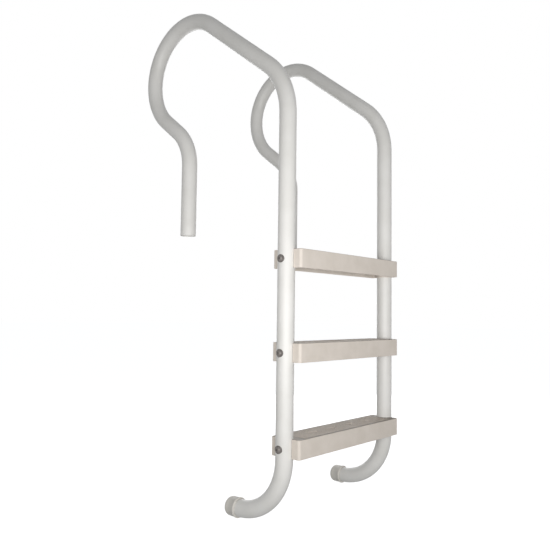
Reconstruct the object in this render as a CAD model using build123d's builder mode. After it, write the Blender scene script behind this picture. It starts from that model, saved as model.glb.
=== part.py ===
from build123d import *
import os

# Pool ladder with three treads, held by the deck through the two anchor legs of its rails.
# Millimetres. +Z is up, +Y points from the deck to the water, and +X is the left hand of a
# swimmer who faces the ladder. The origin is at deck level, midway between the anchor legs.

# Rails: 1.90 in tube, bent in one plane
TUBE_OD = 48.3
TUBE_WALL = 1.65
RAIL_SPACING = 508.0  # centre to centre, 20 in
ANCHOR_DEPTH = 102.0  # below the deck, in the anchor socket
ANCHOR_RISE = 121.0  # straight above the deck, up to the first bend
KICK_RADIUS = 150.0
SLOPE_ANGLE = 52.0  # turn of the kick and of the shoulder
KICK_STRAIGHT = 80.0
ARCH_RADIUS = 170.0
ARCH_ANGLE = 180.0
SLOPE_STRAIGHT = 307.0
SHOULDER_RADIUS = 200.0
LEG_STRAIGHT = 942.0
FOOT_RADIUS = 160.0
FOOT_ANGLE = 90.0
FOOT_STRAIGHT = 34.0

# Treads: hollow mouldings, open below
TREAD_PITCH = 254.0  # 10 in
TOP_TREAD_DROP = 405.0  # from the end of the shoulder bend to the top tread's bolts
TREAD_NAMES = ("top", "middle", "bottom")
TREAD_LENGTH = 508.0  # the ends reach the middle of each rail
TREAD_FRONT = 51.5  # from the legs' axes to the water side
TREAD_BACK = 46.0  # from the legs' axes to the wall side
TREAD_ABOVE = 27.0  # from the bolts to the top plate's upper face
TREAD_BELOW = 25.0  # from the bolts to the lower edge
TREAD_FRONT_CORNER = 8.0
TREAD_BACK_CORNER = 4.0
CRADLE_LIP = 3.0  # rounding where a cradle meets the tread's end
TREAD_WALL = 3.5
TREAD_DECK = 4.5  # thickness of the top plate
TREAD_TOP_FILLET = 2.0
TREAD_BOTTOM_FILLET = 1.0
CRADLE_GAP = 0.35  # between the tube and the half-round cradle

# Stiffening ribs under the top plate
RIB_THICKNESS = 2.8
RIB_PITCH = 44.0
RIB_COUNT = 10
LONG_RIB_SPACING = 36.0
RIB_SETBACK = 9.0  # the ribs stop this far above the tread's lower edge

# Grip ridges and drain slots on the top plate
GRIP_COUNT = 14
GRIP_PITCH = 5.5
GRIP_WIDTH = 2.4
GRIP_HEIGHT = 1.0
GRIP_LENGTH = 436.0
SLOT_PITCH = 88.0
SLOT_COUNT = 4
SLOT_LENGTH = 38.0
SLOT_WIDTH = 13.0

# Tread fasteners: 5/16 in bolt, saddle washer and captive hex nut
BOLT_D = 7.9
BOLT_LENGTH = 69.8
BOLT_HOLE_D = 8.6
HEAD_D = 17.4
HEAD_HEIGHT = 4.6
HEAD_FLAT_D = 7.0
HEAD_RIM = 1.0  # straight edge below the dome
HEAD_DOME_R = 10.0
BOLT_TIP_CHAMFER = 0.8
SOCKET_AF = 4.8
SOCKET_DEPTH = 2.6
WASHER_D = 22.2
WASHER_CREST = 2.2  # thickness over the tube's crest line
WASHER_EDGE_CHAMFER = 0.6
SADDLE_GAP = 0.05
NUT_AF = 12.7
NUT_HEIGHT = 6.8
NUT_BORE_D = 8.0
NUT_CHAMFER = 0.7
BOSS_WIDTH = 27.0
BOSS_REACH = 25.0  # along the bolt, from the cradle
BOSS_BELOW = 14.0  # below the bolt's axis
POCKET_WALL = 6.0  # plastic between the cradle and the nut
POCKET_GAP = 0.3

# Wall bumpers: caps pushed over the foot ends
BUMPER_R = 27.0
BUMPER_BORE_GAP = 0.15
BUMPER_OVERLAP = 33.0  # length of tube inside the cap
BUMPER_END_WALL = 9.0
BUMPER_FACE_R = 14.0  # flat that meets the pool wall
BEAD_RISE = 1.7  # of the mouth's bead over the sleeve
BEAD_WIDTH = 7.0
MOUTH_CHAMFER = 0.8

TUBE_R = TUBE_OD / 2
CRADLE_R = TUBE_R + CRADLE_GAP
RAIL_X = RAIL_SPACING / 2
TREAD_DEPTH = TREAD_FRONT + TREAD_BACK
SIDES = {"left": 1, "right": -1}


def rail_centreline(x):
    """Return the leg's line and the whole centreline, in the plane X = x."""
    with BuildLine(Plane.YZ.offset(x)) as line:
        anchor = Line((0, -ANCHOR_DEPTH), (0, ANCHOR_RISE))
        kick = JernArc(anchor @ 1, anchor % 1, KICK_RADIUS, SLOPE_ANGLE)
        rise = Line(kick @ 1, kick @ 1 + (kick % 1) * KICK_STRAIGHT)
        arch = JernArc(rise @ 1, rise % 1, ARCH_RADIUS, -ARCH_ANGLE)
        slope = Line(arch @ 1, arch @ 1 + (arch % 1) * SLOPE_STRAIGHT)
        shoulder = JernArc(slope @ 1, slope % 1, SHOULDER_RADIUS, -SLOPE_ANGLE)
        leg = Line(shoulder @ 1, shoulder @ 1 + (shoulder % 1) * LEG_STRAIGHT)
        foot = JernArc(leg @ 1, leg % 1, FOOT_RADIUS, -FOOT_ANGLE)
        Line(foot @ 1, foot @ 1 + (foot % 1) * FOOT_STRAIGHT)
    return leg, line


middle_leg, middle_line = rail_centreline(0)
LEG_Y = (middle_leg @ 0).Y
LEG_TOP_Z = (middle_leg @ 0).Z
FOOT_END = middle_line.line @ 1
TREAD_Y = LEG_Y + (TREAD_FRONT - TREAD_BACK) / 2
TREAD_Z = [LEG_TOP_Z - TOP_TREAD_DROP - TREAD_PITCH * i for i in range(len(TREAD_NAMES))]


def make_rail(side):
    """Bent tube with a bolt hole through both walls at each tread."""
    _, path = rail_centreline(side * RAIL_X)
    with BuildPart() as rail:
        with BuildSketch(Plane(origin=path.line @ 0, z_dir=path.line % 0)):
            Circle(TUBE_R)
            Circle(TUBE_R - TUBE_WALL, mode=Mode.SUBTRACT)
        sweep(path=path.line)
        with BuildSketch(Plane.YZ.offset(side * RAIL_X)):
            with Locations([(LEG_Y, z) for z in TREAD_Z]):
                Circle(BOLT_HOLE_D / 2)
        extrude(amount=TUBE_OD, both=True, mode=Mode.SUBTRACT)
    return rail


def tread_outline():
    """Plan of a tread: rounded corners, and a half-round cradle for a rail at each end."""
    with BuildSketch() as outline:
        with Locations((0, TREAD_Y)):
            Rectangle(TREAD_LENGTH, TREAD_DEPTH)
        fillet(outline.vertices().group_by(Axis.Y)[-1], TREAD_FRONT_CORNER)
        fillet(outline.vertices().group_by(Axis.Y)[0], TREAD_BACK_CORNER)
        with Locations((RAIL_X, LEG_Y), (-RAIL_X, LEG_Y)):
            Circle(CRADLE_R, mode=Mode.SUBTRACT)
        tips = outline.vertices().filter_by(
            lambda v: abs(abs(v.X) - TREAD_LENGTH / 2) < 0.01 and abs(abs(v.Y - LEG_Y) - CRADLE_R) < 0.01
        )
        fillet(tips, CRADLE_LIP)
    return outline.sketch


def make_tread(z):
    """Hollow tread, with its bolts at height z, and ribs, bosses, grip ridges and slots."""
    top = z + TREAD_ABOVE
    bottom = z - TREAD_BELOW
    plate_bottom = top - TREAD_DECK
    cradle_x = RAIL_X - CRADLE_R
    boss_x = cradle_x - BOSS_REACH / 2 + TREAD_WALL
    pocket_x = cradle_x - POCKET_WALL - NUT_HEIGHT / 2
    plan = tread_outline()
    with BuildPart() as tread:
        # outer block, then the cavity below the top plate
        with BuildSketch(Plane.XY.offset(bottom)):
            add(plan)
        extrude(amount=top - bottom)
        fillet(tread.faces().sort_by(Axis.Z)[-1].edges(), TREAD_TOP_FILLET)
        fillet(tread.faces().sort_by(Axis.Z)[0].edges(), TREAD_BOTTOM_FILLET)
        with BuildSketch(Plane.XY.offset(bottom)):
            offset(plan, amount=-TREAD_WALL)
        extrude(amount=plate_bottom - bottom, mode=Mode.SUBTRACT)
        # stiffening ribs and bolt bosses
        with BuildSketch(Plane.XY.offset(bottom + RIB_SETBACK)):
            with Locations((0, TREAD_Y)):
                with GridLocations(RIB_PITCH, 0, RIB_COUNT, 1):
                    Rectangle(RIB_THICKNESS, TREAD_DEPTH - TREAD_WALL)
                with GridLocations(0, LONG_RIB_SPACING, 1, 2):
                    Rectangle(2 * cradle_x, RIB_THICKNESS)
        extrude(amount=plate_bottom - bottom - RIB_SETBACK)
        with BuildSketch(Plane.XY.offset(z - BOSS_BELOW)):
            with Locations((boss_x, LEG_Y), (-boss_x, LEG_Y)):
                Rectangle(BOSS_REACH + 2 * TREAD_WALL, BOSS_WIDTH)
        extrude(amount=plate_bottom - z + BOSS_BELOW)
        # the cradles again, to trim the bosses
        with BuildSketch(Plane.XY.offset(bottom)):
            with Locations((RAIL_X, LEG_Y), (-RAIL_X, LEG_Y)):
                Circle(CRADLE_R)
        extrude(amount=top - bottom, mode=Mode.SUBTRACT)
        # bolt bores and nut pockets
        for side in SIDES.values():
            with BuildSketch(Plane.YZ.offset(side * RAIL_X)):
                with Locations((LEG_Y, z)):
                    Circle(BOLT_HOLE_D / 2)
            extrude(amount=-side * (CRADLE_R + BOSS_REACH + 1), mode=Mode.SUBTRACT)
        with BuildSketch(Plane.XY.offset(bottom)):
            with Locations((pocket_x, LEG_Y), (-pocket_x, LEG_Y)):
                Rectangle(NUT_HEIGHT + POCKET_GAP, NUT_AF + POCKET_GAP)
        extrude(amount=TREAD_BELOW + NUT_AF / 2 + 1, mode=Mode.SUBTRACT)
        # grip ridges, then the drain slots through ridges and plate
        with BuildSketch(Plane.XY.offset(top)):
            with Locations((0, TREAD_Y)):
                with GridLocations(0, GRIP_PITCH, 1, GRIP_COUNT):
                    SlotOverall(GRIP_LENGTH, GRIP_WIDTH)
        extrude(amount=GRIP_HEIGHT)
        with BuildSketch(Plane.XY.offset(plate_bottom)):
            with Locations((0, TREAD_Y)):
                with GridLocations(SLOT_PITCH, 0, SLOT_COUNT, 1):
                    SlotOverall(SLOT_LENGTH, SLOT_WIDTH)
        extrude(amount=TREAD_DECK + GRIP_HEIGHT, mode=Mode.SUBTRACT)
    return tread


def fastener_plane(side, x, z):
    """Plane with its origin on a bolt's axis, and its X axis pointing away from the tread."""
    return Plane(origin=(side * x, LEG_Y, z), x_dir=(side, 0, 0), z_dir=(0, 0, 1))


def make_washer(side, z):
    """Round washer with a saddle underside that sits on the tube."""
    with BuildPart() as washer:
        with BuildSketch(Plane.YZ.offset(side * RAIL_X)):
            with Locations((LEG_Y, z)):
                Circle(WASHER_D / 2)
                Circle(BOLT_HOLE_D / 2, mode=Mode.SUBTRACT)
        extrude(amount=side * (TUBE_R + WASHER_CREST))
        outer = washer.faces().filter_by(Axis.X).sort_by(Axis.X)[-1 if side > 0 else 0]
        chamfer(outer.edges().sort_by(SortBy.RADIUS)[-1], WASHER_EDGE_CHAMFER)
        with BuildSketch(Plane.XY.offset(z - WASHER_D)):
            with Locations((side * RAIL_X, LEG_Y)):
                Circle(TUBE_R + SADDLE_GAP)
        extrude(amount=2 * WASHER_D, mode=Mode.SUBTRACT)
    return washer


def make_bolt(side, z):
    """Truss-head bolt, from the outside of the tube to the nut inside the tread."""
    head_x = RAIL_X + TUBE_R + WASHER_CREST
    plane = fastener_plane(side, head_x, z)
    with BuildPart() as bolt:
        with BuildSketch(plane):
            with BuildLine():
                Polyline(
                    (HEAD_HEIGHT, HEAD_FLAT_D / 2),
                    (HEAD_HEIGHT, 0),
                    (-BOLT_LENGTH, 0),
                    (-BOLT_LENGTH, BOLT_D / 2 - BOLT_TIP_CHAMFER),
                    (BOLT_TIP_CHAMFER - BOLT_LENGTH, BOLT_D / 2),
                    (0, BOLT_D / 2),
                    (0, HEAD_D / 2),
                    (HEAD_RIM, HEAD_D / 2),
                )
                RadiusArc((HEAD_RIM, HEAD_D / 2), (HEAD_HEIGHT, HEAD_FLAT_D / 2), HEAD_DOME_R)
            make_face()
        revolve(axis=Axis(plane.origin, plane.x_dir))
        with BuildSketch(Plane(origin=plane.origin + plane.x_dir * HEAD_HEIGHT, z_dir=plane.x_dir)):
            RegularPolygon(SOCKET_AF / 2, 6, major_radius=False)
        extrude(amount=-SOCKET_DEPTH, mode=Mode.SUBTRACT)
    return bolt


def make_nut(side, z):
    """Hex nut, with its flats against the sides of the tread's pocket."""
    nut_x = RAIL_X - CRADLE_R - POCKET_WALL
    with BuildPart() as nut:
        with BuildSketch(Plane.YZ.offset(side * nut_x)):
            with Locations((LEG_Y, z)):
                RegularPolygon(NUT_AF / 2, 6, major_radius=False, rotation=30)
                Circle(NUT_BORE_D / 2, mode=Mode.SUBTRACT)
        extrude(amount=-side * NUT_HEIGHT)
        chamfer(nut.edges().filter_by(GeomType.CIRCLE), NUT_CHAMFER)
    return nut


def make_bumper(side):
    """Cap over a rail's foot end: flat face, rounded nose, sleeve and a bead round the mouth."""
    x = side * RAIL_X
    bore_r = TUBE_R + BUMPER_BORE_GAP
    nose_radius = BUMPER_R - BUMPER_FACE_R
    mouth = BUMPER_END_WALL + BUMPER_OVERLAP
    face_y = FOOT_END.Y - BUMPER_END_WALL
    plane = Plane(origin=(x, face_y, FOOT_END.Z), x_dir=(0, 1, 0), z_dir=(1, 0, 0))
    with BuildPart() as bumper:
        with BuildSketch(plane):
            with BuildLine():
                RadiusArc((0, BUMPER_FACE_R), (nose_radius, BUMPER_R), nose_radius)
                Line((nose_radius, BUMPER_R), (mouth - BEAD_WIDTH, BUMPER_R))
                ThreePointArc(
                    (mouth - BEAD_WIDTH, BUMPER_R),
                    (mouth - BEAD_WIDTH / 2, BUMPER_R + BEAD_RISE),
                    (mouth, BUMPER_R),
                )
                Polyline(
                    (mouth, BUMPER_R),
                    (mouth, bore_r + MOUTH_CHAMFER),
                    (mouth - MOUTH_CHAMFER, bore_r),
                    (BUMPER_END_WALL, bore_r),
                    (BUMPER_END_WALL, 0),
                    (0, 0),
                    (0, BUMPER_FACE_R),
                )
            make_face()
        revolve(axis=Axis(plane.origin, plane.x_dir))
    return bumper


def save(piece, name):
    piece.part.label = name
    export_step(piece.part, f"parts/{name}.step")


os.makedirs("parts", exist_ok=True)
for side_name, side in SIDES.items():
    save(make_rail(side), f"rail_{side_name}")
    save(make_bumper(side), f"bumper_{side_name}")
for tread_name, tread_z in zip(TREAD_NAMES, TREAD_Z):
    save(make_tread(tread_z), f"tread_{tread_name}")
    for side_name, side in SIDES.items():
        save(make_bolt(side, tread_z), f"bolt_{tread_name}_{side_name}")
        save(make_washer(side, tread_z), f"washer_{tread_name}_{side_name}")
        save(make_nut(side, tread_z), f"nut_{tread_name}_{side_name}")
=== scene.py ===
import math

import bmesh
import bpy
from mathutils import Matrix, Vector


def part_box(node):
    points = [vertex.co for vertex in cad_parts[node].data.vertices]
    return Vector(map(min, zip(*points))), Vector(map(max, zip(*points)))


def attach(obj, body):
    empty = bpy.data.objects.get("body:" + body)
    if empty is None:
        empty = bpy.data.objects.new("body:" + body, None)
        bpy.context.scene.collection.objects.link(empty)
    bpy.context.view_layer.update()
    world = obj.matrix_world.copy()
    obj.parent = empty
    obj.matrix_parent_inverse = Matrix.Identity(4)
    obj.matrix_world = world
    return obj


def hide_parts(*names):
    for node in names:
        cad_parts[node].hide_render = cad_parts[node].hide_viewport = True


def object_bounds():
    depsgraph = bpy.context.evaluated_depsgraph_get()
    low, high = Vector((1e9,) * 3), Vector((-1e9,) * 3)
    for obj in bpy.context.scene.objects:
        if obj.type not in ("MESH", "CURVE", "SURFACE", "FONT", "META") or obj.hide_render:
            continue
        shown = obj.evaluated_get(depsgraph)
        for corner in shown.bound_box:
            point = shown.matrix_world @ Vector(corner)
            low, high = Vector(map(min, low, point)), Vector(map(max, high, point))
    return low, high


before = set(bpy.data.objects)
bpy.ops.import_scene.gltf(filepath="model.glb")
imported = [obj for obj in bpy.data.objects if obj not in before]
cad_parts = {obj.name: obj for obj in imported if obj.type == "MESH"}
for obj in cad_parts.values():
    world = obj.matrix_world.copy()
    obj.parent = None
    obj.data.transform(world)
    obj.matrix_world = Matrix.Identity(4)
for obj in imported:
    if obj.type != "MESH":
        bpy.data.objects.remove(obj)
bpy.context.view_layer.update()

MM = 0.001
SIDES = {"left": 1, "right": -1}
TREADS = ("top", "middle", "bottom")


# ---------------------------------------------------------------- places, from the frame

def centre(node):
    low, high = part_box(node)
    return (low + high) / 2


mid_bolt = centre("bolt_middle_left")
MIDDLE_TREAD = Vector((0, mid_bolt.y, mid_bolt.z))  # midway between the pool legs
rail_low, rail_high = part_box("rail_left")
RAIL_X = (rail_low.x + rail_high.x) / 2
TUBE_R = (rail_high.x - rail_low.x) / 2


# ---------------------------------------------------------------- camera

CAMERA_FROM_TREAD = Vector((1.5365, 1.0792, 0.1034))  # measured from MIDDLE_TREAD
CAMERA_AZIMUTH = math.radians(48.877)
CAMERA_PITCH = math.radians(3.635)
CAMERA_ROLL = math.radians(0.708)
CAMERA_LENS = 40.43
CAMERA_SENSOR = 36.0
CAMERA_CLIP = (0.05, 100)


def make_camera():
    data = bpy.data.cameras.new("camera")
    data.lens = CAMERA_LENS
    data.sensor_width = CAMERA_SENSOR
    data.clip_start, data.clip_end = CAMERA_CLIP
    cam = bpy.data.objects.new("camera", data)
    bpy.context.collection.objects.link(cam)
    look = Vector((
        -math.cos(CAMERA_PITCH) * math.sin(CAMERA_AZIMUTH),
        -math.cos(CAMERA_PITCH) * math.cos(CAMERA_AZIMUTH),
        math.sin(CAMERA_PITCH),
    ))
    flat_right = Vector((-math.cos(CAMERA_AZIMUTH), math.sin(CAMERA_AZIMUTH), 0))
    flat_up = flat_right.cross(look)
    right = math.cos(CAMERA_ROLL) * flat_right + math.sin(CAMERA_ROLL) * flat_up
    up = -math.sin(CAMERA_ROLL) * flat_right + math.cos(CAMERA_ROLL) * flat_up
    cam.matrix_world = (
        Matrix.Translation(MIDDLE_TREAD + CAMERA_FROM_TREAD)
        @ Matrix((right, up, -look)).transposed().to_4x4()
    )
    bpy.context.scene.camera = cam


make_camera()


# ---------------------------------------------------------------- mesh helpers

def link_mesh(name, verts, faces):
    """New smooth-shaded piece with its faces turned outward."""
    mesh = bpy.data.meshes.new(name)
    mesh.from_pydata(verts, [], faces)
    mesh.validate()
    bm = bmesh.new()
    bm.from_mesh(mesh)
    bmesh.ops.recalc_face_normals(bm, faces=bm.faces)
    bm.to_mesh(mesh)
    bm.free()
    mesh.polygons.foreach_set("use_smooth", [True] * len(mesh.polygons))
    piece = bpy.data.objects.new(name, mesh)
    bpy.context.collection.objects.link(piece)
    return piece


def ring_faces(rings, around, closed):
    """Quads between successive rings of `around` vertices each."""
    faces = []
    for i in range(rings if closed else rings - 1):
        a, b = i * around, (i + 1) % rings * around
        for j in range(around):
            k = (j + 1) % around
            faces.append((a + j, a + k, b + k, b + j))
    return faces


def arc_points(centre_xy, radius, start_deg, end_deg, steps):
    """Points on a circular arc, ends included."""
    cx, cy = centre_xy
    angles = [math.radians(start_deg + (end_deg - start_deg) * i / steps) for i in range(steps + 1)]
    return [(cx + radius * math.cos(a), cy + radius * math.sin(a)) for a in angles]


# ---------------------------------------------------------------- rails

TUBE_WALL = 1.65 * MM
LIP_RADIUS = 0.6 * MM  # rounded edges of the cut tube ends
LIP_STEPS = 4
TUBE_AROUND = 72
BEND_STEP = math.radians(2)
STRAIGHT_STEP = 30 * MM
ANCHOR_DEPTH = 102 * MM
RAIL_COURSE = (  # from the anchor end to the foot end: straight lengths, and bends' radius and turn
    ("straight", 223 * MM),
    ("bend", 150 * MM, 52),
    ("straight", 80 * MM),
    ("bend", 170 * MM, -180),
    ("straight", 307 * MM),
    ("bend", 200 * MM, -52),
    ("straight", 942 * MM),
    ("bend", 160 * MM, -90),
    ("straight", 34 * MM),
)


def rail_stations():
    """Points on the centreline with their headings, in the rail's own plane."""
    y, z, heading = 0.0, -ANCHOR_DEPTH, math.pi / 2
    stations = [(y, z, heading)]
    for kind, size, *turn in RAIL_COURSE:
        if kind == "straight":
            steps = max(1, round(size / STRAIGHT_STEP))
            for _ in range(steps):
                y += math.cos(heading) * size / steps
                z += math.sin(heading) * size / steps
                stations.append((y, z, heading))
        else:
            angle = math.radians(turn[0])
            steps = round(abs(angle) / BEND_STEP)
            sign = math.copysign(1, angle)
            cy = y - sign * size * math.sin(heading)
            cz = z + sign * size * math.cos(heading)
            for _ in range(steps):
                heading += angle / steps
                y = cy + sign * size * math.sin(heading)
                z = cz - sign * size * math.cos(heading)
                stations.append((y, z, heading))
    return stations


def tube_ring(x, station, radius, ahead=0.0):
    """One ring of the tube; `ahead` shifts it along the heading."""
    y, z, heading = station
    y += math.cos(heading) * ahead
    z += math.sin(heading) * ahead
    ring = []
    for j in range(TUBE_AROUND):
        a = 2 * math.pi * j / TUBE_AROUND
        out = radius * math.cos(a)
        across = radius * math.sin(a)
        ring.append((x + across, y - math.sin(heading) * out, z + math.cos(heading) * out))
    return ring


def make_rail(side_name, side):
    """The bent tube as a closed wall, with rounded lips at its two cut ends."""
    x = side * RAIL_X
    stations = rail_stations()
    outer, inner = TUBE_R, TUBE_R - TUBE_WALL
    lip = [(ahead, radius) for ahead, radius in
           arc_points((LIP_RADIUS, inner + LIP_RADIUS), LIP_RADIUS, 270, 180, LIP_STEPS)
           + arc_points((LIP_RADIUS, outer - LIP_RADIUS), LIP_RADIUS, 180, 90, LIP_STEPS)]
    verts = []
    for ahead, radius in lip:
        verts += tube_ring(x, stations[0], radius, ahead)
    for station in stations[1:-1]:
        verts += tube_ring(x, station, outer)
    for ahead, radius in reversed(lip):
        verts += tube_ring(x, stations[-1], radius, -ahead)
    for station in reversed(stations[1:-1]):
        verts += tube_ring(x, station, inner)
    rings = len(verts) // TUBE_AROUND
    piece = link_mesh(f"rail_tube_{side_name}", verts, ring_faces(rings, TUBE_AROUND, True))
    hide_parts(f"rail_{side_name}")
    return piece


# ---------------------------------------------------------------- foot bumpers

BUMPER_AROUND = 96
NOSE_STEPS, BEAD_STEPS, MOUTH_OUT_STEPS, MOUTH_IN_STEPS = 16, 12, 3, 5
SLEEVE_R = 27 * MM
BUMPER_END_WALL = 9 * MM
BUMPER_BORE_GAP = 0.15 * MM
FACE_R = 14 * MM  # of the flat that meets the pool wall
BEAD_WIDTH = 7 * MM
BEAD_RISE = 1.6 * MM
MOUTH_ROUND = 1.2 * MM
MOUTH_INSET = MOUTH_ROUND * 0.6  # keeps the mouth's rounding inside the bead
MOUTH_START = 40  # degrees, where the bead runs into that rounding


def bumper_profile(length, bore_r):
    """Half section as (distance from the flat face, radius), from the face round to the bore's end."""
    nose = SLEEVE_R - FACE_R
    bead_r = (BEAD_WIDTH**2 / 4 + BEAD_RISE**2) / (2 * BEAD_RISE)
    bead_centre = (length - BEAD_WIDTH / 2, SLEEVE_R + BEAD_RISE - bead_r)
    half = math.degrees(math.asin(BEAD_WIDTH / 2 / bead_r))
    rounded_half = math.degrees(math.asin((BEAD_WIDTH / 2 - MOUTH_ROUND / 2) / bead_r))
    mouth = length - MOUTH_ROUND
    points = [(0, 0), (0, FACE_R / 2)]
    points += arc_points((nose, FACE_R), nose, 180, 90, NOSE_STEPS)
    points += arc_points(bead_centre, bead_r, 90 + half, 90 - rounded_half, BEAD_STEPS)
    points += arc_points((mouth, SLEEVE_R - MOUTH_INSET), MOUTH_ROUND, MOUTH_START, 0, MOUTH_OUT_STEPS)
    points += arc_points((mouth, bore_r + MOUTH_ROUND), MOUTH_ROUND, 0, -90, MOUTH_IN_STEPS)
    points += [(BUMPER_END_WALL, bore_r), (BUMPER_END_WALL, 0)]
    return points


def make_bumper(side_name, side):
    """Cap over the foot end, turned about the foot's axis."""
    low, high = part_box(f"bumper_{side_name}")
    x = side * RAIL_X
    axis_z = (low.z + high.z) / 2
    profile = bumper_profile(high.y - low.y, TUBE_R + BUMPER_BORE_GAP)
    verts = [(x, low.y, axis_z)]
    for along, radius in profile[1:-1]:
        for j in range(BUMPER_AROUND):
            a = 2 * math.pi * j / BUMPER_AROUND
            verts.append((x + radius * math.cos(a), low.y + along, axis_z + radius * math.sin(a)))
    last = len(verts)
    verts.append((x, low.y + profile[-1][0], axis_z))
    rings = len(profile) - 2
    faces = [tuple(i + 1 for i in face) for face in ring_faces(rings, BUMPER_AROUND, False)]
    for j in range(BUMPER_AROUND):
        k = (j + 1) % BUMPER_AROUND
        faces.append((0, 1 + k, 1 + j))
        faces.append((last, last - BUMPER_AROUND + j, last - BUMPER_AROUND + k))
    piece = link_mesh(f"foot_cap_{side_name}", verts, faces)
    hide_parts(f"bumper_{side_name}")
    return piece


# ---------------------------------------------------------------- materials

CLOUDS = (0.35, 0.65)  # noise values that give a material's darker and lighter shade
WIDE = (0.3, 0.7)  # noise values that give its smoothest and roughest parts
COAT_SHADES = ((0.74, 0.725, 0.69), (0.79, 0.775, 0.745))
COAT_SPECKS = (0.60, 0.58, 0.54)
COAT_IOR = 1.46
PLASTIC_SHADES = ((0.69, 0.623, 0.55), (0.75, 0.68, 0.61))
PLASTIC_SPECKS = (0.54, 0.485, 0.42)
GRIP_SHADES = ((0.295, 0.245, 0.198), (0.375, 0.315, 0.258))
# painted shade: the colour the grip's grooves are darkened towards, and how far
GROOVE_SHADE = (0.17, 0.143, 0.112)
GROOVE_SHADE_SHARE = 0.55
FACING_UP = (0.6, 0.9)  # normal's Z, from a tread's side to its top
GRIP_RISE = (0.90, 0.975)  # shares of a tread's height where the grip's colour starts and is full
RIDGE_RISE = (0.985, 0.995)  # the same, from the painted shade in the grooves to the unshaded ridges
VINYL_SHADES = ((0.66, 0.63, 0.575), (0.76, 0.73, 0.675))
VINYL_SCUFFS = (0.46, 0.435, 0.40)
NOSE_SHARE = 0.35  # of a bumper's length
STEEL_SHADES = ((0.16, 0.145, 0.135), (0.25, 0.23, 0.215))
STEEL_METALLIC = 0.75
SPECK_SHARE = 0.25


def new_material(name):
    material = bpy.data.materials.new(name)
    material.use_nodes = True
    return material, material.node_tree.nodes, material.node_tree.links


def noise(nodes, links, coords, scale, detail=2.0, roughness=0.5):
    texture = nodes.new("ShaderNodeTexNoise")
    texture.inputs["Scale"].default_value = scale
    texture.inputs["Detail"].default_value = detail
    texture.inputs["Roughness"].default_value = roughness
    links.new(coords, texture.inputs["Vector"])
    return texture.outputs["Fac"]


def ramp(nodes, links, value, low, high, to_low=0.0, to_high=1.0):
    """Value mapped from low..high to to_low..to_high, clamped."""
    made = nodes.new("ShaderNodeMapRange")
    made.inputs["From Min"].default_value = low
    made.inputs["From Max"].default_value = high
    made.inputs["To Min"].default_value = to_low
    made.inputs["To Max"].default_value = to_high
    links.new(value, made.inputs["Value"])
    return made.outputs["Result"]


def mix_colour(nodes, links, factor, first, second):
    made = nodes.new("ShaderNodeMix")
    made.data_type = "RGBA"
    links.new(factor, made.inputs["Factor"])
    for socket, colour in ((made.inputs["A"], first), (made.inputs["B"], second)):
        if isinstance(colour, tuple):
            socket.default_value = (*colour, 1)
        else:
            links.new(colour, socket)
    return made.outputs["Result"]


def math_node(nodes, links, operation, first, second):
    made = nodes.new("ShaderNodeMath")
    made.operation = operation
    for socket, value in zip(made.inputs, (first, second)):
        if isinstance(value, (int, float)):
            socket.default_value = value
        else:
            links.new(value, socket)
    return made.outputs["Value"]


def set_roughness(nodes, links, value, smoothest, roughest):
    """Roughness that follows a noise."""
    varied = ramp(nodes, links, value, *WIDE, smoothest, roughest)
    links.new(varied, nodes["Principled BSDF"].inputs["Roughness"])


def add_bump(nodes, links, height, distance, strength, under=None):
    made = nodes.new("ShaderNodeBump")
    made.inputs["Distance"].default_value = distance
    made.inputs["Strength"].default_value = strength
    links.new(height, made.inputs["Height"])
    if under is not None:
        links.new(under, made.inputs["Normal"])
    return made.outputs["Normal"]


def rail_coat():
    """Off-white polymer coat: faint cloudiness, fine specks, orange peel."""
    material, nodes, links = new_material("rail_coat")
    shader = nodes["Principled BSDF"]
    coords = nodes.new("ShaderNodeTexCoord").outputs["Object"]
    cloud = noise(nodes, links, coords, scale=14, detail=3)
    speck = noise(nodes, links, coords, scale=420)
    base = mix_colour(nodes, links, ramp(nodes, links, cloud, *CLOUDS), *COAT_SHADES)
    specks = ramp(nodes, links, speck, low=0.62, high=0.78, to_high=SPECK_SHARE)
    base = mix_colour(nodes, links, specks, base, COAT_SPECKS)
    links.new(base, shader.inputs["Base Color"])
    set_roughness(nodes, links, cloud, smoothest=0.34, roughest=0.46)
    peel = noise(nodes, links, coords, scale=330)
    grain = noise(nodes, links, coords, scale=1500)
    under = add_bump(nodes, links, peel, distance=0.0006, strength=0.04)
    surface = add_bump(nodes, links, grain, distance=0.0002, strength=0.04, under=under)
    links.new(surface, shader.inputs["Normal"])
    shader.inputs["IOR"].default_value = COAT_IOR
    return material


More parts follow.
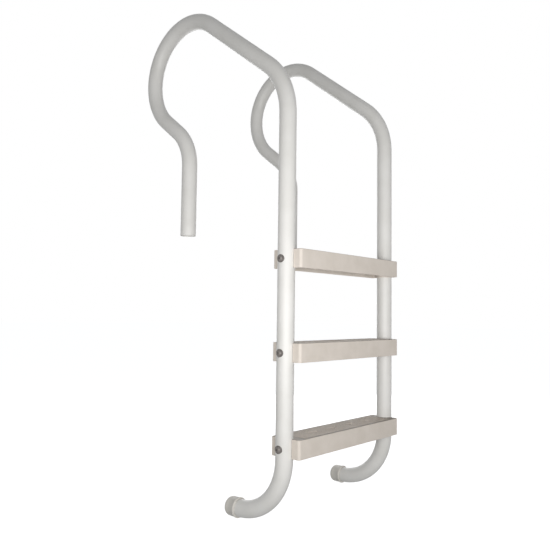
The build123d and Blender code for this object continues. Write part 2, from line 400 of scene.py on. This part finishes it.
def tread_plastic():
    """Beige moulded plastic, grained; the grip on top is darker, and has painted shade in its grooves.
    """
    material, nodes, links = new_material("tread_plastic")
    shader = nodes["Principled BSDF"]
    texcoord = nodes.new("ShaderNodeTexCoord")
    coords = texcoord.outputs["Object"]
    normal = nodes.new("ShaderNodeSeparateXYZ")
    links.new(nodes.new("ShaderNodeNewGeometry").outputs["Normal"], normal.inputs["Vector"])
    height = nodes.new("ShaderNodeSeparateXYZ")
    links.new(texcoord.outputs["Generated"], height.inputs["Vector"])
    cloud = noise(nodes, links, coords, scale=22, detail=3)
    fine = noise(nodes, links, coords, scale=900)
    base = mix_colour(nodes, links, ramp(nodes, links, cloud, *CLOUDS), *PLASTIC_SHADES)
    specks = ramp(nodes, links, fine, low=0.55, high=0.75, to_high=SPECK_SHARE)
    base = mix_colour(nodes, links, specks, base, PLASTIC_SPECKS)
    worn = noise(nodes, links, coords, scale=60, detail=4, roughness=0.6)
    grip = mix_colour(nodes, links, ramp(nodes, links, worn, low=0.4, high=0.7), *GRIP_SHADES)
    facing_up = ramp(nodes, links, normal.outputs["Z"], *FACING_UP)
    near_top = ramp(nodes, links, height.outputs["Z"], *GRIP_RISE)
    top = math_node(nodes, links, "MULTIPLY", facing_up, near_top)
    base = mix_colour(nodes, links, top, base, grip)
    # painted shade: up-facing surfaces below the ridge tops are darkened, as if shaded in the grooves
    groove_shade = ramp(nodes, links, height.outputs["Z"], *RIDGE_RISE, GROOVE_SHADE_SHARE, 0.0)
    groove_shade = math_node(nodes, links, "MULTIPLY", groove_shade, top)
    base = mix_colour(nodes, links, groove_shade, base, GROOVE_SHADE)
    links.new(base, shader.inputs["Base Color"])
    set_roughness(nodes, links, cloud, smoothest=0.50, roughest=0.62)
    under = add_bump(nodes, links, fine, distance=0.0004, strength=0.22)
    surface = add_bump(nodes, links, cloud, distance=0.002, strength=0.05, under=under)
    links.new(surface, shader.inputs["Normal"])
    return material


def bumper_vinyl():
    """Soft vinyl cap, a little greyer than the rail, scuffed round the nose."""
    material, nodes, links = new_material("bumper_vinyl")
    shader = nodes["Principled BSDF"]
    texcoord = nodes.new("ShaderNodeTexCoord")
    coords = texcoord.outputs["Object"]
    along = nodes.new("ShaderNodeSeparateXYZ")
    links.new(texcoord.outputs["Generated"], along.inputs["Vector"])
    cloud = noise(nodes, links, coords, scale=40, detail=3)
    scuff = noise(nodes, links, coords, scale=160, detail=5, roughness=0.7)
    base = mix_colour(nodes, links, cloud, *VINYL_SHADES)
    nose = ramp(nodes, links, along.outputs["Y"], low=NOSE_SHARE, high=0.0)
    marks = ramp(nodes, links, scuff, low=0.5, high=0.68)
    scuffed = math_node(nodes, links, "MULTIPLY", marks, nose)
    base = mix_colour(nodes, links, scuffed, base, VINYL_SCUFFS)
    links.new(base, shader.inputs["Base Color"])
    set_roughness(nodes, links, scuff, smoothest=0.42, roughest=0.6)
    links.new(add_bump(nodes, links, scuff, distance=0.0005, strength=0.2), shader.inputs["Normal"])
    return material


def fastener_steel():
    """Dulled stainless steel, stained and finely grained."""
    material, nodes, links = new_material("fastener_steel")
    shader = nodes["Principled BSDF"]
    coords = nodes.new("ShaderNodeTexCoord").outputs["Object"]
    stain = noise(nodes, links, coords, scale=180, detail=4, roughness=0.6)
    fine = noise(nodes, links, coords, scale=2400)
    base = mix_colour(nodes, links, ramp(nodes, links, stain, *CLOUDS), *STEEL_SHADES)
    links.new(base, shader.inputs["Base Color"])
    shader.inputs["Metallic"].default_value = STEEL_METALLIC
    set_roughness(nodes, links, stain, smoothest=0.55, roughest=0.72)
    links.new(add_bump(nodes, links, fine, distance=0.0001, strength=0.25), shader.inputs["Normal"])
    return material


def dress(piece, material):
    """Puts one material on a piece, for a CAD node as for a new piece."""
    if piece.data.materials:
        for i in range(len(piece.data.materials)):
            piece.data.materials[i] = material
    else:
        piece.data.materials.append(material)
    if piece.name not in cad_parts:
        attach(piece, "root")


coat, plastic, vinyl, steel = rail_coat(), tread_plastic(), bumper_vinyl(), fastener_steel()
for side_name, side in SIDES.items():
    dress(make_rail(side_name, side), coat)
    dress(make_bumper(side_name, side), vinyl)
for tread in TREADS:
    dress(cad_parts[f"tread_{tread}"], plastic)
    for side_name in SIDES:
        for kind in ("bolt", "washer", "nut"):
            dress(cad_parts[f"{kind}_{tread}_{side_name}"], steel)


# ---------------------------------------------------------------- floor, light

FLOOR_GAP = 0.5 * MM
FLOOR_SIZE = 60.0
FLOOR_GLOW = 0.76  # keeps the floor pale where the key light doesn't reach
FLOOR_GREY = (0.9, 0.9, 0.9, 1)
FLOOR_ROUGHNESS = 0.9
WHITE = (1, 1, 1, 1)
FILL_COLOUR = (0.97, 0.985, 1.0, 1)
BACKDROP, GLOSS_FILL, FILL = 1.0, 0.8, 0.27  # strengths seen by the camera, by gloss and by the rest


def make_floor():
    low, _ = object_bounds()
    bpy.ops.mesh.primitive_plane_add(size=FLOOR_SIZE, location=(0, 0, low.z - FLOOR_GAP))
    floor = bpy.context.object
    floor.name = "floor"
    material, nodes, links = new_material("floor")
    shader = nodes["Principled BSDF"]
    shader.inputs["Base Color"].default_value = FLOOR_GREY
    shader.inputs["Roughness"].default_value = FLOOR_ROUGHNESS
    shader.inputs["Specular IOR Level"].default_value = 0.0
    shader.inputs["Emission Color"].default_value = WHITE
    shader.inputs["Emission Strength"].default_value = FLOOR_GLOW
    floor.data.materials.append(material)
    floor.visible_diffuse = False
    floor.visible_glossy = False


def make_light(name, position, aim, width, height, power, spread=180):
    """Soft box at a position, turned to its aim; both are measured from MIDDLE_TREAD."""
    data = bpy.data.lights.new(name, "AREA")
    data.shape = "RECTANGLE"
    data.size, data.size_y = width, height
    data.energy = power
    data.spread = math.radians(spread)
    lamp = bpy.data.objects.new(name, data)
    lamp.visible_camera = False
    bpy.context.collection.objects.link(lamp)
    back = (Vector(position) - Vector(aim)).normalized()
    lamp.location = MIDDLE_TREAD + Vector(position)
    lamp.rotation_mode = "QUATERNION"
    lamp.rotation_quaternion = back.to_track_quat("Z", "Y")


def make_world():
    """White behind the object, paler grey in its gloss, and a soft grey as the light from all round."""
    world = bpy.data.worlds.new("studio")
    bpy.context.scene.world = world
    world.use_nodes = True
    nodes, links = world.node_tree.nodes, world.node_tree.links
    backdrop = nodes["Background"]
    gloss = nodes.new("ShaderNodeBackground")
    fill = nodes.new("ShaderNodeBackground")
    for light, colour, strength in (
        (backdrop, WHITE, BACKDROP),
        (gloss, FILL_COLOUR, GLOSS_FILL),
        (fill, FILL_COLOUR, FILL),
    ):
        light.inputs["Color"].default_value = colour
        light.inputs["Strength"].default_value = strength
    path = nodes.new("ShaderNodeLightPath")
    surround = fill.outputs[0]
    for ray, light in (("Is Glossy Ray", gloss), ("Is Camera Ray", backdrop)):
        mixed = nodes.new("ShaderNodeMixShader")
        links.new(path.outputs[ray], mixed.inputs[0])
        links.new(surround, mixed.inputs[1])
        links.new(light.outputs[0], mixed.inputs[2])
        surround = mixed.outputs[0]
    links.new(surround, nodes["World Output"].inputs["Surface"])


make_floor()
make_world()
make_light(
    "key", position=(1.15, 1.12, 0.03), aim=(0, 0, 0.25), width=2.4, height=0.4, power=13.2, spread=120
)
make_light("back", position=(-1.6, -1.8, 0.6), aim=(0, 0, 0.1), width=2.0, height=2.0, power=18)
bpy.context.scene.view_settings.view_transform = "Standard"
